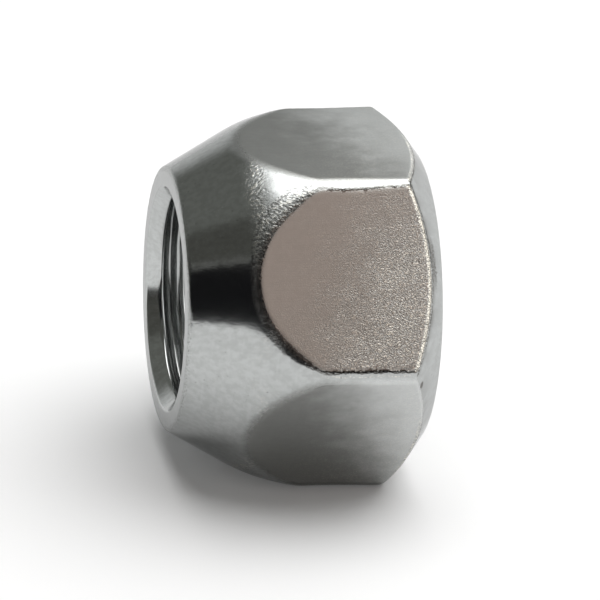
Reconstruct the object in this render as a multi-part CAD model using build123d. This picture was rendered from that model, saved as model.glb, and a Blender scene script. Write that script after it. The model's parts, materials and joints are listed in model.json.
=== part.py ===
from build123d import *
import os
from math import cos, radians, tan

# Open-ended wheel lug nut with a conical seat, cold-formed in one piece.
# The thread axis lies along X: the seat faces -X and the wrench end faces +X.
# The nut lies on one hexagon flat, which faces -Z, and the origin is on the axis at mid-length.
# Lengths are in millimetres and angles in degrees.

# Tapped hole for a 1/2-20 UNF stud, with its wall at the tapping drill's size
thread_diameter = 12.7  # major diameter
thread_depth = 0.6  # from the major diameter in to the drilled wall, radial
mouth_clearance = 0.1  # countersink mouth outside the major diameter, radial
mouth_angle = 82.0  # included angle of the countersink at each end

# Hexagon
across_flats = 19.05  # 3/4 in wrench
nut_length = 14.3  # face to face
corner_radius = 1.2  # forged rounding of the six long corners

# Seat end
seat_face_width = 1.05  # flat ring between the countersink mouth and the seat cone
seat_angle = 60.0  # included angle of the seat cone
seat_rim_radius = 0.3  # rounded outer edge of the ring
shoulder_overhang = 0.475  # where the seat cone ends, outside the flats, radial
shoulder_angle = 32.0  # included angle of the shallower cone that trims the corners
shoulder_radius = 2.0  # rounding between the two cones

# Wrench end
end_face_inset = 1.175  # rim of the end face inside the flats, radial
end_chamfer_angle = 37.0  # chamfer measured from the end face
end_rim_radius = 0.4  # rounding between the end face and the chamfer

# Curved edges where the flats and long corners run out into the turned ends
seat_runout_radius = 0.8  # softly forged
end_runout_radius = 0.15  # nearly sharp

# Radii and places that follow from the sizes above
wall_radius = thread_diameter / 2 - thread_depth
mouth_radius = thread_diameter / 2 + mouth_clearance
mouth_depth = (mouth_radius - wall_radius) / tan(radians(mouth_angle / 2))
seat_rim = mouth_radius + seat_face_width
shoulder_rim = across_flats / 2 + shoulder_overhang
end_rim = across_flats / 2 - end_face_inset
seat_end = -nut_length / 2
wrench_end = nut_length / 2
shoulder_start = seat_end + (shoulder_rim - seat_rim) / tan(radians(seat_angle / 2))
corner_rim = (across_flats / 2 - corner_radius) / cos(radians(30)) + corner_radius
corner_start = shoulder_start + (corner_rim - shoulder_rim) / tan(radians(shoulder_angle / 2))
corner_end = wrench_end - (corner_rim - end_rim) * tan(radians(end_chamfer_angle))
corner_middle = (corner_start + corner_end) / 2


def round_point(profile, x, radius_out, rounding):
    """Round the corner of a half section that lies at (x, radius_out)."""
    corner = profile.vertices().sort_by_distance((x, radius_out, 0))[0]
    return fillet(corner, rounding)


def hexagon_bar():
    """Hexagonal bar with rounded long corners, one flat facing -Z."""
    outline = RegularPolygon(across_flats / 2, 6, major_radius=False)
    outline = fillet(outline.vertices(), corner_radius)
    return extrude(Plane.YZ.offset(seat_end) * outline, nut_length)


def seat_side():
    """Half section inside the seat face, the seat cone and the shoulder cone."""
    shoulder_rise = (wrench_end - shoulder_start) * tan(radians(shoulder_angle / 2))
    profile = Polygon(
        (seat_end, 0),
        (seat_end, seat_rim),
        (shoulder_start, shoulder_rim),
        (wrench_end, shoulder_rim + shoulder_rise),
        (wrench_end, 0),
        align=None,
    )
    profile = round_point(profile, seat_end, seat_rim, seat_rim_radius)
    return round_point(profile, shoulder_start, shoulder_rim, shoulder_radius)


def wrench_side():
    """Half section inside the end face and its chamfer."""
    chamfer_rise = nut_length / tan(radians(end_chamfer_angle))
    profile = Polygon(
        (seat_end, 0),
        (seat_end, end_rim + chamfer_rise),
        (wrench_end, end_rim),
        (wrench_end, 0),
        align=None,
    )
    return round_point(profile, wrench_end, end_rim, end_rim_radius)


def round_runouts(body, low, high, rounding):
    """Round the curved edges of the flats and long corners between two places along X."""
    sides = body.faces().filter_by(lambda face: abs(face.normal_at().X) < 0.01)
    curved = sides.edges().filter_by(GeomType.LINE, reverse=True)
    return fillet(curved.filter_by_position(Axis.X, low, high), rounding)


def forged_blank():
    """Hexagon bar trimmed by the turned ends, with the curved edges of its sides rounded."""
    body = hexagon_bar() & revolve(seat_side() & wrench_side(), Axis.X)
    body = round_runouts(body, seat_end, corner_middle, seat_runout_radius)
    return round_runouts(body, corner_middle, wrench_end, end_runout_radius)


def tapped_hole():
    """Through hole with a countersunk mouth at each end."""
    profile = Polygon(
        (seat_end, 0),
        (seat_end, mouth_radius),
        (seat_end + mouth_depth, wall_radius),
        (wrench_end - mouth_depth, wall_radius),
        (wrench_end, mouth_radius),
        (wrench_end, 0),
        align=None,
    )
    return revolve(profile, Axis.X)


os.makedirs("parts", exist_ok=True)
lug_nut = forged_blank() - tapped_hole()
lug_nut.label = "lug_nut"
export_step(lug_nut, "parts/lug_nut.step")
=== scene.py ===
"""Plated steel lug nut with a conical seat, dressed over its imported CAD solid.

The nut lies on one flat with its thread axis along X: the seat faces -X, the wrench end +X.
Lengths are in metres unless a name ends in _mm, and angles are in radians.
"""

import json
from functools import cached_property, reduce
from math import cos, degrees, hypot, pi, radians, sin, tan

import bpy
import numpy as np
from mathutils import Matrix, Vector, noise


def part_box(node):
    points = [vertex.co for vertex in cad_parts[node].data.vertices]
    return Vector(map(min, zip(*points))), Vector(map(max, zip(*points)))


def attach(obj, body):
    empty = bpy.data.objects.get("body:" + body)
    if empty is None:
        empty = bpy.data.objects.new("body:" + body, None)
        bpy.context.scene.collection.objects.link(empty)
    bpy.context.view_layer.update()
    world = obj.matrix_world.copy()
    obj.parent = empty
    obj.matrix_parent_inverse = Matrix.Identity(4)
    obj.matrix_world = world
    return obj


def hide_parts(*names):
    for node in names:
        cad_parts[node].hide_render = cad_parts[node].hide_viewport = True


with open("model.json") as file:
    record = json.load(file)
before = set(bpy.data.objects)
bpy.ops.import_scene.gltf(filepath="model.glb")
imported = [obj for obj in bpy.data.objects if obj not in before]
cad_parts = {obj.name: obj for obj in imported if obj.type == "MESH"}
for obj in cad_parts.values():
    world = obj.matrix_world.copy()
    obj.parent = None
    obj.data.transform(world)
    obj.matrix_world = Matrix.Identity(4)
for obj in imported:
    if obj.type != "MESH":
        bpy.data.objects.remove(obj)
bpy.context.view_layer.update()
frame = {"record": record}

bl_info = {
    "name": "Lug Nut",
    "version": (1, 0, 0),
    "blender": (4, 5, 0),
    "location": "View3D > Sidebar > Lug Nut",
    "description": "Builds a plated conical-seat lug nut and its stage",
    "category": "Add Mesh",
}

nut_low, nut_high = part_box("lug_nut")
thread_mount = next(m for m in frame["record"]["mounts"] if m["name"] == "thread")

MM = 0.001
SIXTH = pi / 3  # one side of the hexagon
ALTERNATING = 1.5  # the cosine of this times an angle peaks at every other side of the hexagon
SOFTBOX_X, SOFTBOX_Y = 0.185, 0.15  # the softbox hangs behind the nut, towards its wrench end


# ---------------------------------------------------------------- sizes and finishes


def length(name, description, default):
    """A length that the user may change."""
    return bpy.props.FloatProperty(
        name=name, description=description, default=default, min=0.0, precision=5, unit="LENGTH"
    )


def turn(name, description, degrees):
    """An angle that the user may change."""
    return bpy.props.FloatProperty(
        name=name, description=description, default=radians(degrees), subtype="ANGLE"
    )


def share(name, description, default):
    """A share from none to all."""
    return bpy.props.FloatProperty(
        name=name, description=description, default=default, min=0.0, max=1.0, subtype="FACTOR"
    )


def level(name, description, default):
    """A brightness, where 1 is white."""
    return bpy.props.FloatProperty(name=name, description=description, default=default, min=0.0)


def colour(name, description, default):
    """A colour in linear light."""
    return bpy.props.FloatVectorProperty(
        name=name, description=description, default=default, size=3, min=0.0, max=1.0,
        subtype="COLOR",
    )


class LugNutSizes(bpy.types.PropertyGroup):
    """Sizes of the nut, with the overall ones taken from its CAD solid."""

    nut_length: length("Length", "Face to face along the thread", nut_high.x - nut_low.x)
    across_flats: length("Across flats", "Wrench size", nut_high.z - nut_low.z)
    corner_radius: length("Corner radius", "Rounding of the six long corners", 0.0012)
    seat_rim: length("Seat rim", "Radius where the seat cone starts", 0.0075)
    seat_angle: turn("Seat angle", "Half of the seat cone's included angle", 30)
    shoulder_overhang: length("Shoulder overhang", "Seat cone's end outside the flats", 0.000475)
    shoulder_angle: turn("Shoulder angle", "Half of the shoulder cone's included angle", 16)
    rim_radius: length("Seat rim rounding", "Rounded outer edge of the seat ring", 0.0003)
    end_face_inset: length("End face inset", "End face's rim inside the flats", 0.001175)
    chamfer_angle: turn("Chamfer angle", "End chamfer from the end face", 37)
    end_rim_radius: length("End rim rounding", "Between the end face and its chamfer", 0.0004)
    mouth_radius: length("Mouth radius", "Countersink mouth at each end", 0.00645)
    mouth_angle: turn("Mouth angle", "Half of each countersink's included angle", 41)
    wall_radius: length("Wall radius", "Crests of the thread", thread_mount["dims"]["r_mm"] * MM)
    thread_depth: length("Thread depth", "Crest to root of the thread", 0.0006)
    pitch: length("Pitch", "Advance of the thread in one turn", 0.00127)


class LugNutFinish(bpy.types.PropertyGroup):
    """Colours and gloss of the plating, with the colours of its painted light, shade and
    highlights.
    """

    plating: colour("Plating", "Polished plating on the cones and corners", (0.485, 0.50, 0.496))
    # Painted light: a lighter copy of the plating, laid on the chamfer's lower front side and in
    # the hole's mouths as if they were lit
    turned: colour("Turned", "Plating of the turned end and hole mouths", (0.525, 0.54, 0.536))
    # Painted shade: the darker copy of the smoother flats' plating, kept towards the seat end and
    # each flat's earlier side
    satin: colour("Satin", "Plating of the smoother flats at the seat end", (0.295, 0.30, 0.29))
    # Painted light: the lighter copy of that plating, towards the wrench end and each flat's later
    # side
    rubbed: colour("Rubbed satin", "Plating of those flats at the wrench end", (0.60, 0.615, 0.61))
    struck: colour("Struck satin", "Plating of the harder struck flats", (0.467, 0.465, 0.449))
    # Also painted shade: this dark colour darkens the hole, its thread roots and the chamfer beside
    # the struck flats, besides real residue
    grime: colour("Grime", "Dark residue in pits, edges and thread roots", (0.07, 0.06, 0.05))
    # Painted highlight: the colour of the sparkles painted on the grains, lips, beads, scuffs and
    # forging marks
    glint: colour("Glint", "Burnished grains that sparkle on the worn flats", (0.95, 0.90, 0.80))
    polish: share("Polish roughness", "Roughness of the polished cone", 0.13)
    brushed: share("Brushed roughness", "Roughness of the smoother flats", 0.285)
    grained: share("Grain roughness", "Roughness of the flats that were struck harder", 0.30)
    worn: share("Worn roughness", "Roughness that wear adds towards the wrench end", 0.05)
    edge_tint: share("Glancing tint", "Share of white that the plating keeps at a glance", 0.7)


class LugNutStage(bpy.types.PropertyGroup):
    """Floor, light and camera."""

    floor_tone: share("Floor tone", "White of the floor", 0.94)
    floor_glow: level("Floor lift", "Lifts the floor to white for the eye and for metal", 0.06)
    far_glow: level("Far floor lift", "Lifts the floor beyond the light's reach to white", 0.94)
    softbox_level: level("Softbox", "Brightness of the overhead softbox", 2.9)
    room_share: share("Room's share", "How much the room lights the floor", 0.3)
    softbox_height: length("Softbox height", "Above the nut", 0.45)
    camera_azimuth: turn("Camera azimuth", "From the front towards the wrench end", -12.54)
    camera_elevation: turn("Camera elevation", "Above the level of the nut", 24.53)
    camera_roll: turn("Camera roll", "Lean of the camera", 4.26)
    camera_distance: length("Camera distance", "From the middle of the nut", 0.3027)
    focal_length: bpy.props.FloatProperty(
        name="Focal length", description="Lens in millimetres", default=318.3, unit="CAMERA"
    )


# ---------------------------------------------------------------- shader maths


class Value:
    """A number on a shader socket, which Python's operators turn into Math nodes."""

    def __init__(self, shader, socket):
        self.shader = shader
        self.socket = socket

    def _math(self, operation, *others):
        return self.shader.node("ShaderNodeMath", {"operation": operation}, self, *others)["Value"]

    def __add__(self, other):
        return self._math("ADD", other)

    __radd__ = __add__

    def __sub__(self, other):
        return self._math("SUBTRACT", other)

    def __rsub__(self, other):
        return self.shader.node("ShaderNodeMath", {"operation": "SUBTRACT"}, other, self)["Value"]

    def __mul__(self, other):
        return self._math("MULTIPLY", other)

    __rmul__ = __mul__

    def __truediv__(self, other):
        return self._math("DIVIDE", other)

    def abs(self):
        return self._math("ABSOLUTE")

    def floor(self):
        return self._math("FLOOR")

    def root(self):
        return self._math("SQRT")

    def arcsine(self):
        return self._math("ARCSINE")

    def angle_to(self, other):
        """Angle whose sine is this value and whose cosine is the other."""
        return self._math("ARCTAN2", other)

    def cosine(self):
        return self._math("COSINE")

    def sine(self):
        return self._math("SINE")

    def lowest(self, other):
        return self._math("MINIMUM", other)

    def highest(self, other):
        return self._math("MAXIMUM", other)

    def rise(self, start, end):
        """Smooth step from 0 at start to 1 at end."""
        stepped = self.shader.node(
            "ShaderNodeMapRange",
            {"interpolation_type": "SMOOTHSTEP"},
            self, start, end,
        )
        return stepped["Result"]

    def fall(self, start, end):
        """Smooth step from 1 at start to 0 at end."""
        return 1 - self.rise(start, end)

    def between(self, low, high, soft):
        """1 between two values, with soft edges of the given half width."""
        return self.rise(low - soft, low + soft) * self.fall(high - soft, high + soft)


class Node:
    """A placed node, whose outputs are read by name."""

    def __init__(self, shader, node):
        self.shader = shader
        self.node = node

    def __getitem__(self, name):
        return Value(self.shader, self.node.outputs[name])


class Shader:
    """Node tree of one material or world."""

    def __init__(self, owner):
        owner.use_nodes = True
        self.tree = owner.node_tree
        self.tree.nodes.clear()

    def node(self, kind, settings=None, *values, **named):
        """Place a node, set it up, then fill its sockets in order and by name."""
        made = self.tree.nodes.new(kind)
        for name, value in (settings or {}).items():
            setattr(made, name, value)
        for place, value in enumerate(values):
            self.fill(made.inputs[place], value)
        for name, value in named.items():
            self.fill(made.inputs[name.replace("_", " ")], value)
        return Node(self, made)

    def fill(self, socket, value):
        """Link a value to a socket, or set the socket to a constant."""
        if isinstance(value, Value):
            self.tree.links.new(value.socket, socket)
        else:
            socket.default_value = value

    def vector(self, x, y, z):
        """Join three numbers."""
        return self.node("ShaderNodeCombineXYZ", None, x, y, z)["Vector"]

    def blend(self, amount, first, second):
        """Mix two colours, whose sockets come after those of the numbers and vectors."""
        mixed = self.node("ShaderNodeMix", {"data_type": "RGBA"}, amount).node
        self.fill(mixed.inputs[6], opaque(first))
        self.fill(mixed.inputs[7], opaque(second))
        return Value(self, mixed.outputs[2])

    def clouds(self, place, scale, detail=2.0, roughness=0.5):
        """Noise around 0.5 with the given number of grains in a unit."""
        grain = self.node(
            "ShaderNodeTexNoise", None,
            Vector=place, Scale=scale, Detail=detail, Roughness=roughness,
        )
        return grain["Fac"]


def opaque(tone):
    """A plain colour with full alpha, or a linked one as it is."""
    return tone if isinstance(tone, Value) else (*tone, 1.0)


# ---------------------------------------------------------------- shape of the nut


def blend_low(first, second, width):
    """Lower of two heights, with the step between them rounded over a width."""
    closeness = np.clip(width - np.abs(first - second), 0, None) / width
    return np.minimum(first, second) - closeness**2 * width / 4


def corner_distance(angle):
    """Angle from each ray to the nearest long corner of the hexagon."""
    return np.abs((angle + SIXTH / 2) % SIXTH - SIXTH / 2)


def hexagon_reach(angle, flat, rounding):
    """Distance from the axis to a hexagon with rounded corners."""
    off_corner = corner_distance(angle)
    centre = (flat - rounding) / cos(SIXTH / 2)
    edge = np.arctan2(rounding * sin(SIXTH / 2), centre + rounding * cos(SIXTH / 2))
    chord = np.clip(rounding**2 - (centre * np.sin(off_corner)) ** 2, 0, None)
    arc = centre * np.cos(off_corner) + np.sqrt(chord)
    return np.where(off_corner < edge, arc, flat / np.cos(SIXTH / 2 - off_corner))


class NutShape:
    """Surface of the nut, as radii over places along the axis and angles round it."""

    corner_columns = 7  # columns in half of a corner's rounding
    flat_columns = 46  # columns in one flat
    corner_reach = radians(4.5)  # half of a corner's share of a turn
    rim_rows = 6  # rows round the edge of each end
    turn_rows = 12  # rows in one turn of the thread
    face_shares = (0.04, 0.35, 0.65)  # places of an end face's rows, from the hole to the rim
    narrow_start = 0.66  # share of the length where four of the six corners start to narrow
    narrow_length = 0.3  # share of the length over which they narrow
    narrowing = 0.5  # share of the corner radius that they lose
    seat_blend = 0.4 * MM  # softness of the seat where it rises to the flats
    flat_step = 0.08 * MM  # how far that rise would carry past the hardest struck flats
    flat_blend = 0.03 * MM  # softness of the edge around each flat
    smooth_share = 0.4  # softness and step of the smoother flats, as a share of the struck flats'
    seat_share = 0.85  # softness of the seat away from the middle of a struck flat, likewise
    shoulder_blend = 0.3 * MM  # softness between the seat cone and the shoulder cone
    ridge_rise = 0.05 * MM  # how far each corner's ridge stands over the shoulder cone
    ridge_fall = 0.2 * MM  # how far the shoulder falls away from that ridge
    ridge_width = radians(8)  # where half of that fall is reached
    chamfer_blend = 0.24 * MM  # softness of the chamfer's edge on the struck flats
    knock_angle = radians(300)  # lower front corner, which was knocked round at the wrench end
    knock_width = radians(7)  # how far the knock reaches each way
    knock_blend = 0.45 * MM  # how much softer it makes the chamfer's edge
    thread_start = 0.15 * MM  # how far under the countersink the thread is full
    flank_slope = 1.4  # steepness of the thread's flanks, against a plain wave's
    crest_share = 0.24  # depth of that wave that its flat crests cut off
    unevenness = 0.006 * MM  # how far the forged surface dips
    dips_per_mm = 0.45  # how many of its dips lie in a millimetre

    def __init__(self, sizes):
        self.sizes = sizes
        self.flat = sizes.across_flats / 2
        self.end = sizes.nut_length
        self.shoulder_rim = self.flat + sizes.shoulder_overhang
        self.shoulder_start = (self.shoulder_rim - sizes.seat_rim) / tan(sizes.seat_angle)
        self.end_rim = self.flat - sizes.end_face_inset
        self.angles = self.columns()
        self.struck = np.abs(np.cos((self.angles - SIXTH / 2) * ALTERNATING))
        off_knock = (self.angles - self.knock_angle) / self.knock_width
        self.knocked = np.exp(-(off_knock**2))
        off_ridge = corner_distance(self.angles) ** 2
        fallen = self.ridge_fall * off_ridge / (off_ridge + self.ridge_width**2)
        self.shoulder_rims = self.shoulder_rim + self.ridge_rise - fallen

    def columns(self):
        """Angles round the axis from the front corner, closer together at the corners."""
        half = np.linspace(0, self.corner_reach, self.corner_columns, endpoint=False)
        flat = np.linspace(self.corner_reach, SIXTH - self.corner_reach, self.flat_columns + 1)
        side = np.concatenate([half, flat, SIXTH - half[:0:-1]])
        return np.concatenate([side + SIXTH * number for number in range(6)])

    def corner_rounding(self, along):
        """Corner radius at each place: the corners off the parting line narrow at the end."""
        on_parting_line = np.round(self.angles / SIXTH) % 3 == 0
        narrowed = np.where(on_parting_line, 0.0, self.narrowing)
        reached = np.clip((along / self.end - self.narrow_start) / self.narrow_length, 0, 1)
        return self.sizes.corner_radius * (1 - narrowed * reached)

    def hexagon(self, along):
        """Radius of the hexagonal bar."""
        return hexagon_reach(self.angles, self.flat, self.corner_rounding(along))

    def seat(self, along):
        """Radius of the seat cone and the shoulder cone."""
        cone = self.sizes.seat_rim + along * tan(self.sizes.seat_angle)
        rise = (along - self.shoulder_start) * tan(self.sizes.shoulder_angle)
        return blend_low(cone, self.shoulder_rims + rise, self.shoulder_blend)

    def chamfer(self, along):
        """Radius of the chamfer's cone at the wrench end."""
        return self.end_rim + (self.end - along) / tan(self.sizes.chamfer_angle)

    def outside(self, along):
        """Radius of the outer surface."""
        hexagon = self.hexagon(along)
        edge = self.smooth_share + (1 - self.smooth_share) * self.struck
        risen = hexagon + self.flat_step * edge
        mid_flat = self.struck**6
        seat_blend = self.seat_blend * (self.seat_share + (1 - self.seat_share) * mid_flat)
        body = blend_low(self.seat(along), risen, seat_blend)
        body = blend_low(body, hexagon, self.flat_blend)
        end_blend = self.chamfer_blend * edge + self.knock_blend * self.knocked
        return blend_low(body, self.chamfer(along), end_blend)

    def inside(self, along):
        """Radius of the threaded hole with its countersunk mouths."""
        depth = self.sizes.thread_depth
        phase = along / self.sizes.pitch - self.angles / (2 * pi)
        wave = 0.5 - 0.5 * np.cos(2 * pi * phase)
        deep = np.minimum(along, self.end - along)
        mouth = self.sizes.mouth_radius - deep * tan(self.sizes.mouth_angle)
        started = np.clip((self.sizes.wall_radius - mouth) / self.thread_start, 0, 1)
        profile = np.clip(self.flank_slope * wave - self.crest_share, 0, 1)
        groove = self.sizes.wall_radius + depth * started * profile
        return np.maximum(groove, mouth)

    def run_outs(self):
        """Places along the axis where the flats and corners meet the seat and the chamfer."""
        reach = self.hexagon(np.full_like(self.angles, self.end / 2))
        on_seat = (reach - self.sizes.seat_rim) / tan(self.sizes.seat_angle)
        past = (reach - self.shoulder_rims) / tan(self.sizes.shoulder_angle)
        seat = np.maximum(on_seat, self.shoulder_start + past)
        return seat, self.end - (reach - self.end_rim) * tan(self.sizes.chamfer_angle)

    def rim(self, place, radius, rounding, lean):
        """Rows round an end's rim: from its flat face to a cone that leans off the axis."""
        swing = pi / 2 - lean
        tangent = rounding * tan(swing / 2)
        inward = 1 if place == 0 else -1
        rows = []
        for turned in np.linspace(0, swing, self.rim_rows):
            along = rounding * (1 - cos(turned))
            out = radius - tangent + rounding * sin(turned)
            rows.append((place + inward * along, out))
        return rows

    def ring(self, place, radius):
        """One row at a fixed place and radius."""
        return np.full_like(self.angles, place), np.full_like(self.angles, radius)

    def rows(self):
        """Every row of the closed surface, from the seat's mouth round to the same mouth."""
        sizes = self.sizes
        seat_edge = self.rim(0, sizes.seat_rim, sizes.rim_radius, sizes.seat_angle)
        lean = pi / 2 - sizes.chamfer_angle
        end_edge = self.rim(self.end, self.end_rim, sizes.end_rim_radius, lean)
        seat_line, end_line = self.run_outs()
        soft, crisp = 0.7 * MM, 0.16 * MM  # reach of the closer rows at the two run-outs
        start = np.full_like(self.angles, seat_edge[-1][0])
        stop = np.full_like(self.angles, end_edge[-1][0])
        stops = [  # places along the axis, each with the number of rows that lead up to it
            (start, 0),
            (seat_line - soft, 28),
            (seat_line + soft, 26),
            (end_line - crisp, 24),
            (end_line + crisp, 14),
            (stop, 8),
        ]
        rows = [self.ring(0, radius) for radius in self.face_steps(seat_edge[0][1])]
        rows += [self.ring(*edge) for edge in seat_edge[:-1]]
        for (low, _), (high, count) in zip(stops, stops[1:]):
            for step in range(count):
                along = low + (high - low) * step / count
                rows.append((along, self.outside(along)))
        rows.append((stop, self.outside(stop)))
        rows += [self.ring(*edge) for edge in end_edge[-2::-1]]
        rows += [self.ring(self.end, radius) for radius in self.face_steps(end_edge[0][1])[::-1]]
        return rows + self.bore_rows()

    def face_steps(self, outer):
        """Radii across an end face, from the countersink's mouth outwards."""
        mouth = self.sizes.mouth_radius
        return [mouth + (outer - mouth) * step for step in self.face_shares]

    def bore_rows(self):
        """Rows down the hole from the wrench end to the seat end."""
        count = round(self.turn_rows * self.end / self.sizes.pitch)
        rows = []
        for step in range(count + 1):
            along = np.full_like(self.angles, self.end * (1 - step / count))
            rows.append((along, self.inside(along)))
        return rows

    def points(self):
        """Vertices by row and column, in the nut's frame."""
        along, out = (np.array(part) for part in zip(*self.rows()))
        x = along - self.end / 2
        y = -out * np.cos(self.angles)
        z = out * np.sin(self.angles)
        return self.uneven(np.stack([x, y, z], axis=-1))

    def uneven(self, places):
        """Dip the surface slightly, as forging leaves it, and never outwards."""
        for place in places.reshape(-1, 3):
            spot = Vector(place) * (self.dips_per_mm / MM)
            dip = abs(noise.noise(spot)) * self.unevenness
            out = hypot(place[1], place[2])
            place[1:] *= 1 - dip / out
        return places


def closed_grid(name, places):
    """Mesh from rows and columns of vertices that both run round in a ring."""
    rows, columns = places.shape[:2]
    number = np.arange(rows * columns).reshape(rows, columns)
    ahead = np.roll(number, -1, axis=0)
    faces = np.stack(
        [number, np.roll(number, -1, axis=1), np.roll(ahead, -1, axis=1), ahead], axis=-1
    )
    mesh = bpy.data.meshes.new(name)
    mesh.from_pydata(places.reshape(-1, 3).tolist(), [], faces.reshape(-1, 4).tolist())
    mesh.polygons.foreach_set("use_smooth", np.ones(len(mesh.polygons), bool))
    mesh.update()
    return mesh


# ---------------------------------------------------------------- plating


def highest_of(*masks):
    """Highest of several masks."""
    return reduce(Value.highest, masks)


class Plating:
    """Where each finish and each mark lies on the nut.

    Places are in millimetres and radians. Masks run from 0 to 1, and each is made when it is first
    asked for, so that its nodes are placed once. Noises lie round 0.5, and the ragged one round 0:
    a rise or a fall near there picks out their peaks or their hollows.
    """

    pit_along, pit_angle = 12.85, radians(-4.5)  # on the chamfer beside the front corner
    bruise_angle = radians(36)  # on the chamfer behind the middle flat
    # painted light: the chamfer is painted lighter round this angle, on its lower front side
    bright_angle = radians(-30)  # middle of the brighter side of the turned chamfer

    def __init__(self, shader, sizes, finish):
        self.shader = shader
        self.finish = finish
        self.flat_mm = sizes.across_flats / 2 / MM
        self.seat_mm = sizes.seat_rim / MM
        overhang = sizes.shoulder_overhang / MM
        self.shoulder_mm = (self.flat_mm - self.seat_mm + overhang) / tan(sizes.seat_angle)
        self.find_places(sizes)
        self.lay_noises()

    def find_places(self, sizes):
        """Each point's place along the axis, round it and on the nearest flat."""
        spot = self.shader.node("ShaderNodeTexCoord")["Object"]
        split = self.shader.node("ShaderNodeSeparateXYZ", None, spot)
        x, y, z = (split[axis] * (1 / MM) for axis in "XYZ")
        length_mm = sizes.nut_length / MM
        self.along = x + length_mm / 2  # from the seat ring
        self.out = (y * y + z * z).root()  # from the axis
        self.angle = z.angle_to(y * -1)  # round the axis, up from the front corner
        self.flat_angle = ((self.angle / SIXTH).floor() + 0.5) * SIXTH  # middle of the flat
        off_flat = self.angle - self.flat_angle
        self.across = self.out * off_flat.sine()  # over the flat, from its middle
        self.below = self.flat_mm - self.out * off_flat.cosine()  # under the flat's plane
        self.off_corner = SIXTH / 2 - off_flat.abs()  # angle from the nearest long corner

        from_end = length_mm - self.along
        end_rim = self.flat_mm - sizes.end_face_inset / MM
        self.off_chamfer = from_end / tan(sizes.chamfer_angle) + end_rim - self.out
        self.sunk = (sizes.mouth_radius / MM - self.out) / tan(sizes.mouth_angle)
        self.past_mouth = self.along.lowest(from_end) - self.sunk  # down the hole from its mouth
        self.off_wall = self.out - sizes.wall_radius / MM
        down_pit = (self.along - self.pit_along) / sin(sizes.chamfer_angle)
        round_pit = (self.angle - self.pit_angle) * self.flat_mm
        self.off_pit = (down_pit * down_pit + round_pit * round_pit).root()

    def lay_noises(self):
        """Noises from the finest grain to the broadest, by grains in a millimetre."""
        clouds, vector = self.shader.clouds, self.shader.vector
        along, across = self.along, self.across
        spread = self.angle * 3  # sets each flat's noise apart from its neighbours'
        place = vector(along, across + spread, self.out)
        self.sand = clouds(place, 15.0, 1.0, 0.6)
        self.speckle = clouds(place, 9.0, 2.0, 0.6)
        self.hammered = clouds(place, 5.0, 1.0, 0.5)
        self.ragged = clouds(place, 5.0, 2.0, 0.6) - 0.5
        self.pocked = clouds(place, 4.0, 1.0, 0.4)
        self.mottle = clouds(place, 2.2, 3.0, 0.6)
        self.blotch = clouds(place, 0.7, 3.0, 0.5)
        streaks = vector(along * 0.5, across * 9 + spread, 0.0)
        rings = vector(along * 5, self.angle * 2, 0.0)
        self.drawn = clouds(streaks, 1.0, 3.0, 0.6)
        self.turned = clouds(rings, 1.0, 3.0, 0.6)

    # Finishes

    @cached_property
    def struck(self):
        """Every other flat, which was struck harder."""
        return ((self.flat_angle - SIXTH / 2) * ALTERNATING).cosine().abs()

    @cached_property
    def struck_corner(self):
        """Every other corner, which has forging marks on the shoulder."""
        return ((self.angle - SIXTH) * ALTERNATING).cosine().abs()

    @cached_property
    def upper(self):
        """The side of each flat that comes later round the axis."""
        return self.across.rise(-1.0, 2.5)

    @cached_property
    def outer(self):
        """Outside of the nut, away from its end faces and its hole."""
        return self.out.rise(self.seat_mm - 0.6, self.seat_mm - 0.5)

    @cached_property
    def frayed(self):
        """Depth under the flat, varied so that the edge of a flat's finish wanders."""
        wave = self.ragged * (0.14 - self.struck * 0.09)
        near_corner = self.off_corner.fall(0.06, 0.12)
        return self.below + (wave + (self.mottle - 0.5) * self.struck * near_corner * 0.10)

    @cached_property
    def on_flat(self):
        """Satin of the flats, which ends sharply on the struck ones."""
        return self.frayed.fall(0.012, 0.20 - self.struck * 0.17)

    @cached_property
    def worn(self):
        """Wear of the forging grain, which grows towards the wrench end."""
        return (self.along + self.blotch * 6 - self.across * 0.5).rise(5.5, 16.0)

    @cached_property
    def faded(self):
        """Painted light and shade: the smoother flats lighter towards the wrench end and their
        later side, darker towards the seat end and their earlier side.
        """
        return (self.along + self.blotch * 5 + self.across * 0.4).rise(9.5, 16.0)

    @cached_property
    def grain(self):
        """Forging grain, strong on worn struck flats and faint on the others."""
        return self.on_flat * (0.06 + self.worn * 0.94) * (0.2 + self.struck * 0.8)

    @cached_property
    def turned_face(self):
        """Painted light: the chamfer's lower front side and the hole's mouths get the lighter
        plating, as if lit.
        """
        facing = (self.angle - self.bright_angle).cosine().rise(0.2, 0.8)
        return (self.off_chamfer.fall(0.02, 0.08) * facing).highest(self.sunk.rise(0.0, 0.05))

    @cached_property
    def bore(self):
        """Threaded wall of the hole."""
        return self.sunk.rise(0.0, 0.1) * self.past_mouth.rise(0.02, 0.12)

    @cached_property
    def thread_root(self):
        """Bottom of the thread's groove."""
        return self.off_wall.rise(0.08, 0.35) * self.bore

    # Forging marks

    @cached_property
    def forged_corner(self):
        """Rough patch where the shoulder meets every other corner."""
        along = self.along - self.off_corner * 2 + self.ragged * 1.6
        band = along.between(self.shoulder_mm - 0.8, self.shoulder_mm - 0.2, 0.4)
        return band * (self.off_corner + self.ragged * 0.15).fall(0.22, 0.45) * self.struck_corner

    @cached_property
    def forged_arc(self):
        """Rough crescent round the seat end of each struck flat, wider on its later side."""
        stop = 4.9 + self.across.rise(0.0, 3.0) * 2.3
        depth = 0.20 + self.across.rise(1.0, 3.5) * 0.3
        crescent = (self.along + self.ragged).between(2.7, stop, 0.4) * self.struck
        return crescent * (self.below + self.ragged * 0.2).between(0.02, depth, 0.04)

    @cached_property
    def forged(self):
        """Fine forging marks."""
        return self.forged_corner.highest(self.forged_arc) * (1 - self.on_flat)

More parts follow.
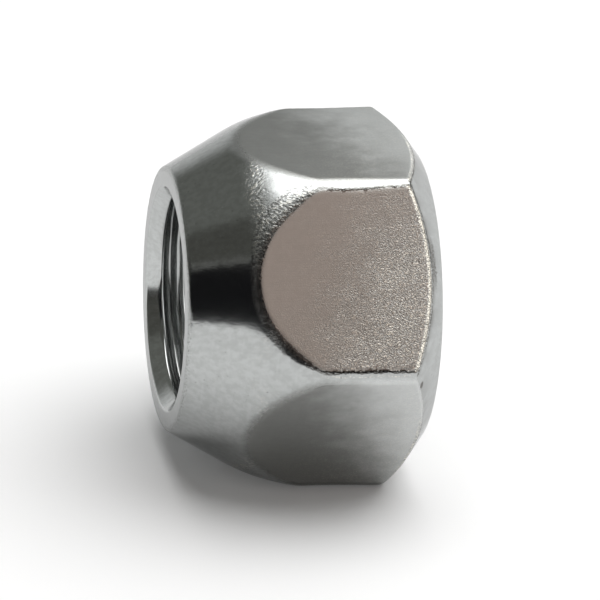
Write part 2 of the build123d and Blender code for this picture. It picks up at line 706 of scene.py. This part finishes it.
    @cached_property
    def coarse(self):
        """Coarse forging marks."""
        return self.forged_corner.highest(self.forged_arc * self.upper * 0.5) * (1 - self.on_flat)

    @cached_property
    def dulled(self):
        """Duller plating round the corners that have forging marks."""
        start, stop = self.shoulder_mm - 0.9, self.shoulder_mm + 1.0
        band = (self.along + self.ragged).between(start, stop, 0.5)
        return band * self.off_corner.fall(0.15, 0.40) * self.struck_corner

    # Edges of the flats

    @cached_property
    def rim(self):
        """Dark line round each struck flat, wider towards the seat."""
        stop = 0.065 + self.along.fall(7.0, 8.5) * 0.03
        return self.frayed.between(0.022, stop, 0.010) * self.struck

    @cached_property
    def seam(self):
        """Thin line along the long edges of each smoother flat, fading where those flats are
        painted lighter towards the wrench end.
        """
        line = (self.below + self.ragged * 0.006).between(0.004, 0.016, 0.004)
        line = line * self.off_corner.fall(0.06, 0.08) * self.along.rise(5.0, 7.0)
        return line * (1 - self.struck) * (1 - self.faded)

    @cached_property
    def scuffed(self):
        """Light scuffs beside the earlier long edge of each struck flat."""
        line = self.below.between(0.10, 0.34, 0.04) * self.across.fall(-2.0, 0.0) * self.struck
        return line * self.along.rise(6.5, 8.0) * self.off_chamfer.rise(0.2, 0.5)

    @cached_property
    def lip(self):
        """Distance from the chamfer, varied so that the edge marks wander."""
        return self.off_chamfer + self.ragged * 0.25

    @cached_property
    def burr(self):
        """Lip where a struck flat meets the chamfer, which gets a painted highlight along it."""
        flush = (self.below + self.ragged * 0.04).fall(0.03, 0.08)
        return self.lip.fall(0.20, 0.34) * flush * self.struck

    @cached_property
    def beads(self):
        """Finer lip on the earlier side of each smoother flat."""
        return self.lip.fall(0.12, 0.24) * self.on_flat * (1 - self.struck) * (1 - self.upper)

    # Marks on the chamfer and the seat ring

    @cached_property
    def nicked(self):
        """Nicks in the chamfer beside the lip."""
        line = (self.below + self.ragged * 0.20).between(0.08, 0.20, 0.03)
        most = 0.3 + self.struck.highest(1 - self.upper) * 0.55
        return line * self.off_chamfer.fall(0.05, 0.10) * most

    @cached_property
    def bruised(self):
        """Knock on the chamfer behind the middle flat."""
        near = (self.angle - self.bruise_angle).abs().fall(0.05, 0.25)
        band = (self.below + self.ragged * 0.5).between(0.10, 0.55, 0.08)
        return band * self.off_chamfer.fall(0.02, 0.06) * near

    @cached_property
    def pit(self):
        """Small pit on the chamfer."""
        return (self.off_pit + self.ragged * 0.2).fall(0.12, 0.28)

    @cached_property
    def smudge(self):
        """Faint smudges on the chamfer, and a painted shade beside the edge behind the struck
        flats.
        """
        blotched = self.blotch.rise(0.35, 0.60) * 0.25
        # painted shade on the chamfer next to each struck flat's edge
        behind = self.below.fall(0.2, 0.5) * self.struck * 0.25
        band = self.below.rise(0.05, 0.15) * self.below.fall(0.3, 1.6)
        return self.off_chamfer.fall(0.05, 0.15) * band * self.outer * (blotched + behind)

    @cached_property
    def worn_rim(self):
        """Worn outer edge of the seat ring."""
        edge = (self.out - self.seat_mm + self.ragged * 0.2).between(-0.25, 0.10, 0.08)
        return edge * self.along.fall(0.3, 0.5)

    @cached_property
    def pitted(self):
        """Sparse pits in the polished plating."""
        return self.pocked.rise(0.74, 0.78) * (1 - self.on_flat) * self.outer

    @cached_property
    def mottled(self):
        """Cloudy patches, strongest in the polished plating."""
        clouded = (self.mottle * 0.8 + self.turned * 0.2).rise(0.36, 0.64)
        return clouded * (1 - self.on_flat * 0.6)

    # What the shader takes

    def relief(self):
        """Height of the textures, in millimetres."""
        rough = self.burr * 0.16 + self.beads * 0.08 + self.worn_rim * 0.02
        rough = rough + self.grain * self.worn * 0.03 + self.forged * 0.008
        height = (self.speckle - 0.5) * rough + (self.hammered - 0.5) * self.coarse * 0.028
        height = height + (self.sand - 0.5) * self.grain * (0.03 - self.worn * 0.01)
        height = height + (self.drawn - 0.5) * self.on_flat * 0.005
        height = height + self.ragged * self.rim * 0.015
        polished = (self.turned - 0.5) * 0.0015 + (self.mottle - 0.5) * 0.005
        return height + polished * (1 - self.on_flat) * self.outer

    def glint(self):
        """Painted highlights: sparkling grains, bright lips and beads, light scuffs and flecks in
        the forging marks.
        """
        fine = self.sand.rise(0.56, 0.70) * (0.8 - self.worn * 0.25)
        sparkle = fine.highest(self.speckle.rise(0.54, 0.62) * self.worn) * self.grain
        return highest_of(
            sparkle * (self.drawn.rise(0.35, 0.60) * 0.5 + 0.5),
            self.speckle.rise(0.36, 0.44) * self.burr,
            self.speckle.rise(0.52, 0.60) * self.scuffed * 0.4,
            self.speckle.rise(0.50, 0.58) * self.beads * 0.7,
            self.hammered.rise(0.50, 0.62) * (self.forged + self.coarse) * 0.2,
        )

    def dirt(self):
        """Dark residue in the lines, nicks and hollows, and painted shade in the hole, down its
        thread roots and beside the struck flats' edges.
        """
        return highest_of(
            self.rim * self.speckle.fall(0.52, 0.76) * (0.6 + self.along.rise(6.5, 8.5) * 0.15),
            self.seam * 0.4,
            self.nicked * self.speckle.fall(0.48, 0.60),
            self.burr * self.speckle.fall(0.36, 0.44) * 0.7,
            self.beads * self.speckle.fall(0.42, 0.50) * 0.5,
            self.bruised * self.speckle.fall(0.46, 0.66) * 0.8,
            self.pit * 0.85,
            # painted shade beside the struck flats' edges, among random smudges
            self.smudge,
            self.worn_rim * self.speckle.fall(0.40, 0.46) * 0.6,
            self.hammered.fall(0.40, 0.52) * (self.forged * 0.75 - self.coarse * 0.4),
            self.sand.fall(0.36, 0.46) * self.grain * self.worn * 0.7,
            # painted shade: the thread roots and the whole hole are darkened as if shade fell
            # inside the nut
            self.thread_root * (self.speckle * 0.2 + 0.05),
            self.bore * 0.1,
            self.pitted * 0.4,
            self.mottled * 0.15,
        )

    def tone(self):
        """Colour of the plating with its painted light and shade, its painted highlights and its
        dirt.
        """
        blend, finish = self.shader.blend, self.finish
        # painted light and shade on the smoother flats: darker towards the seat, lighter towards
        # the wrench end
        satin = blend(self.faded, finish.satin, finish.rubbed)
        satin = blend(self.struck * 0.85, satin, finish.struck)
        # painted light on the chamfer's lower front side and in the hole's mouths
        polished = blend(self.turned_face, finish.plating, finish.turned)
        tone = blend(self.on_flat, polished, satin)
        # painted highlights: sparkles and bright lips put into the colour
        tone = blend(self.glint(), tone, finish.glint)
        # dirt, with painted shade in the hole and beside the struck flats' edges
        return blend(self.dirt(), tone, finish.grime)

    def roughness(self):
        """Roughness of the polished and the satin plating."""
        finish = self.finish
        polished = finish.polish + (self.blotch - 0.5) * 0.06
        polished = polished + self.dulled.highest(self.forged) * 0.13
        satin = finish.brushed + self.struck * (finish.grained - finish.brushed)
        satin = satin + self.worn * finish.worn + (self.drawn - 0.5) * 0.03
        roughness = polished + self.on_flat * (satin - polished)
        return roughness + self.bore * 0.12 - self.burr * 0.14


def plated_steel(sizes, finish):
    """Bright plating over forged steel: polished cones and corners, satin and grained flats."""
    material = bpy.data.materials.new("plated_steel")
    shader = Shader(material)
    plating = Plating(shader, sizes, finish)
    bump = shader.node(
        "ShaderNodeBump", None, Strength=1.0, Distance=MM, Height=plating.relief()
    )
    surface = shader.node(
        "ShaderNodeBsdfPrincipled", None,
        Base_Color=plating.tone(), Metallic=1.0, Roughness=plating.roughness(),
        Normal=bump["Normal"], Specular_Tint=opaque((finish.edge_tint,) * 3),
    )
    shader.node("ShaderNodeOutputMaterial", None, surface["BSDF"])
    return material


class LUGNUT_OT_nut(bpy.types.Operator):
    """Build the plated nut over its CAD solid"""

    bl_idname = "lugnut.nut"
    bl_label = "Lug Nut"

    def execute(self, context):
        scene = context.scene
        mesh = closed_grid("plated_lug_nut", NutShape(scene.lug_nut_sizes).points())
        mesh.materials.append(plated_steel(scene.lug_nut_sizes, scene.lug_nut_finish))
        nut = bpy.data.objects.new("plated_lug_nut", mesh)
        scene.collection.objects.link(nut)
        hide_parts("lug_nut")
        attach(nut, "root")
        return {"FINISHED"}


# ---------------------------------------------------------------- stage


def seen_as_backdrop(shader):
    """1 for rays from the eye, from metal and through glass, and 0 for the rest."""
    path = shader.node("ShaderNodeLightPath")
    seen = path["Is Camera Ray"].highest(path["Is Glossy Ray"])
    return seen.highest(path["Is Transmission Ray"])


def pale_floor(stage):
    """Matt white that keeps shadows and is lifted to white where nothing shades it."""
    material = bpy.data.materials.new("pale_floor")
    shader = Shader(material)
    tone = (stage.floor_tone,) * 3
    spot = shader.node("ShaderNodeTexCoord")["Object"]
    fleck = shader.clouds(spot, 900.0, 2.0, 0.5)
    split = shader.node("ShaderNodeSeparateXYZ", None, spot)
    x, y = split["X"] - SOFTBOX_X, split["Y"] - SOFTBOX_Y
    lit, unlit = 0.2, 0.75  # how far out the softbox still lights the floor fully, and at all
    far = (x * x + y * y).root().rise(lit, unlit)
    lifted = far * stage.far_glow + stage.floor_glow
    surface = shader.node(
        "ShaderNodeBsdfPrincipled", None,
        Base_Color=opaque(tone), Roughness=0.9 + (fleck - 0.5) * 0.1,
        Specular_IOR_Level=0.0, Emission_Strength=1.0,
        Emission_Color=seen_as_backdrop(shader) * lifted,
    )
    shader.node("ShaderNodeOutputMaterial", None, surface["BSDF"])
    return material


def lay_floor(scene, stage):
    """Wide level floor that the nut lies on."""
    reach = 4.0
    corners = [(-reach, -reach, 0), (reach, -reach, 0), (reach, reach, 0), (-reach, reach, 0)]
    mesh = bpy.data.meshes.new("floor")
    mesh.from_pydata(corners, [], [(0, 1, 2, 3)])
    mesh.materials.append(pale_floor(stage))
    floor = bpy.data.objects.new("floor", mesh)
    floor.location.z = nut_low.z
    scene.collection.objects.link(floor)


def hang_softbox(scene, stage):
    """Wide oval softbox overhead, set back and towards the wrench end."""
    width, depth, skew = 0.82, 0.66, radians(35)
    lamp = bpy.data.lights.new("softbox", "AREA")
    lamp.shape = "ELLIPSE"
    lamp.size, lamp.size_y = width, depth
    face = width * depth * pi / 4
    lamp.energy = stage.softbox_level * pi * face
    softbox = bpy.data.objects.new("softbox", lamp)
    softbox.location = (SOFTBOX_X, SOFTBOX_Y, stage.softbox_height)
    softbox.rotation_euler.z = skew
    scene.collection.objects.link(softbox)


def studio_room(scene, stage):
    """Room that the metal mirrors: pale behind, dark to the front and left, a warm front card."""
    world = bpy.data.worlds.new("studio_room")
    scene.world = world
    shader = Shader(world)
    ray = shader.node("ShaderNodeSeparateXYZ", None, shader.node("ShaderNodeTexCoord")["Generated"])
    x, y, z = (ray[axis] for axis in "XYZ")
    # Degrees round the nut from the seat's side towards the front, and degrees up from level
    turned = (y * -1).angle_to(x * -1) * degrees(1)
    raised = z.arcsine() * degrees(1)

    wall, backdrop, table_glow = (0.18, 0.185, 0.17), (0.38, 0.385, 0.375), (0.85, 0.86, 0.85)
    side_card, warm_card = (2.0, 2.0, 2.0), (0.62, 0.50, 0.445)
    flag, flag_rim, black_flag = (0.10, 0.10, 0.09), (0.22, 0.22, 0.21), (0.012, 0.012, 0.013)
    table_edge = (0.02, 0.018, 0.016)
    rear = turned.rise(140, 165)
    left, far_left = turned.between(-2, 84, 4), turned.between(18, 84, 3)
    front = turned.between(84, 140, 4)
    over_flag = raised - (turned - 27).highest(0) * 0.4  # its top slopes up towards the front
    tone = wall
    for place, shade in (
        (turned.fall(-87, -70), backdrop),
        (rear, backdrop),
        ((turned.fall(-48, -30) + rear) * raised.fall(2, 27), table_glow),
        (turned.rise(143, 149) * raised.between(4, 40, 3), side_card),
        (left * raised.fall(52, 62), flag),
        (far_left * over_flag.between(33.5, 36, 0.6), flag_rim),
        (far_left * over_flag.fall(32, 34), black_flag),
        (front * raised.fall(54, 60), warm_card),
        (front * raised.fall(13, 19), table_edge),
    ):
        tone = shader.blend(place, tone, shade)

    path = shader.node("ShaderNodeLightPath")
    tone = shader.blend(path["Is Camera Ray"], tone, (1.0, 1.0, 1.0))
    strength = seen_as_backdrop(shader) * (1 - stage.room_share) + stage.room_share
    sky = shader.node("ShaderNodeBackground", None, tone, strength)
    shader.node("ShaderNodeOutputWorld", None, sky["Background"])


def place_camera(scene, stage):
    """Long lens above the front of the nut, turned to the seat."""
    side, height = stage.camera_azimuth, stage.camera_elevation
    back = Vector((sin(side) * cos(height), -cos(side) * cos(height), sin(height)))
    right = Vector((cos(side), sin(side), 0))
    turned = Matrix.Rotation(stage.camera_roll, 3, back)
    right, up = turned @ right, turned @ back.cross(right)
    framing = right * 0.67 * MM - up * 0.19 * MM  # the nut stands a little off the lens's axis

    lens = bpy.data.cameras.new("camera")
    lens.sensor_width = 36.0
    lens.lens = stage.focal_length
    lens.clip_start, lens.clip_end = 0.01, 20.0
    camera = bpy.data.objects.new("camera", lens)
    turn_to = Matrix((right, up, back)).transposed().to_4x4()
    camera.matrix_world = Matrix.Translation(back * stage.camera_distance + framing) @ turn_to
    scene.collection.objects.link(camera)
    scene.camera = camera


class LUGNUT_OT_stage(bpy.types.Operator):
    """Lay the floor, hang the light and place the camera"""

    bl_idname = "lugnut.stage"
    bl_label = "Stage"

    def execute(self, context):
        scene = context.scene
        stage = scene.lug_nut_stage
        lay_floor(scene, stage)
        hang_softbox(scene, stage)
        studio_room(scene, stage)
        place_camera(scene, stage)
        scene.view_settings.view_transform = "Standard"
        return {"FINISHED"}


class LUGNUT_PT_panel(bpy.types.Panel):
    """Sidebar panel of the lug nut"""

    bl_idname = "LUGNUT_PT_panel"
    bl_label = "Lug Nut"
    bl_space_type = "VIEW_3D"
    bl_region_type = "UI"
    bl_category = "Lug Nut"

    def draw(self, context):
        for operator in OPERATORS:
            self.layout.operator(operator.bl_idname)
        for group in (getattr(context.scene, name) for name in GROUPS):
            box = self.layout.box()
            for name in group.bl_rna.properties.keys():
                if name not in ("rna_type", "name"):
                    box.prop(group, name)


GROUPS = {
    "lug_nut_sizes": LugNutSizes,
    "lug_nut_finish": LugNutFinish,
    "lug_nut_stage": LugNutStage,
}
OPERATORS = (LUGNUT_OT_nut, LUGNUT_OT_stage)
CLASSES = (*GROUPS.values(), *OPERATORS, LUGNUT_PT_panel)


def register():
    """Add the classes and the settings they use to Blender."""
    for one in CLASSES:
        bpy.utils.register_class(one)
    for name, group in GROUPS.items():
        setattr(bpy.types.Scene, name, bpy.props.PointerProperty(type=group))


def unregister():
    """Take them away again."""
    for name in GROUPS:
        delattr(bpy.types.Scene, name)
    for one in reversed(CLASSES):
        bpy.utils.unregister_class(one)


def main():
    """Build the nut and its stage."""
    register()
    bpy.ops.lugnut.nut()
    bpy.ops.lugnut.stage()


if __name__ == "__main__":
    main()
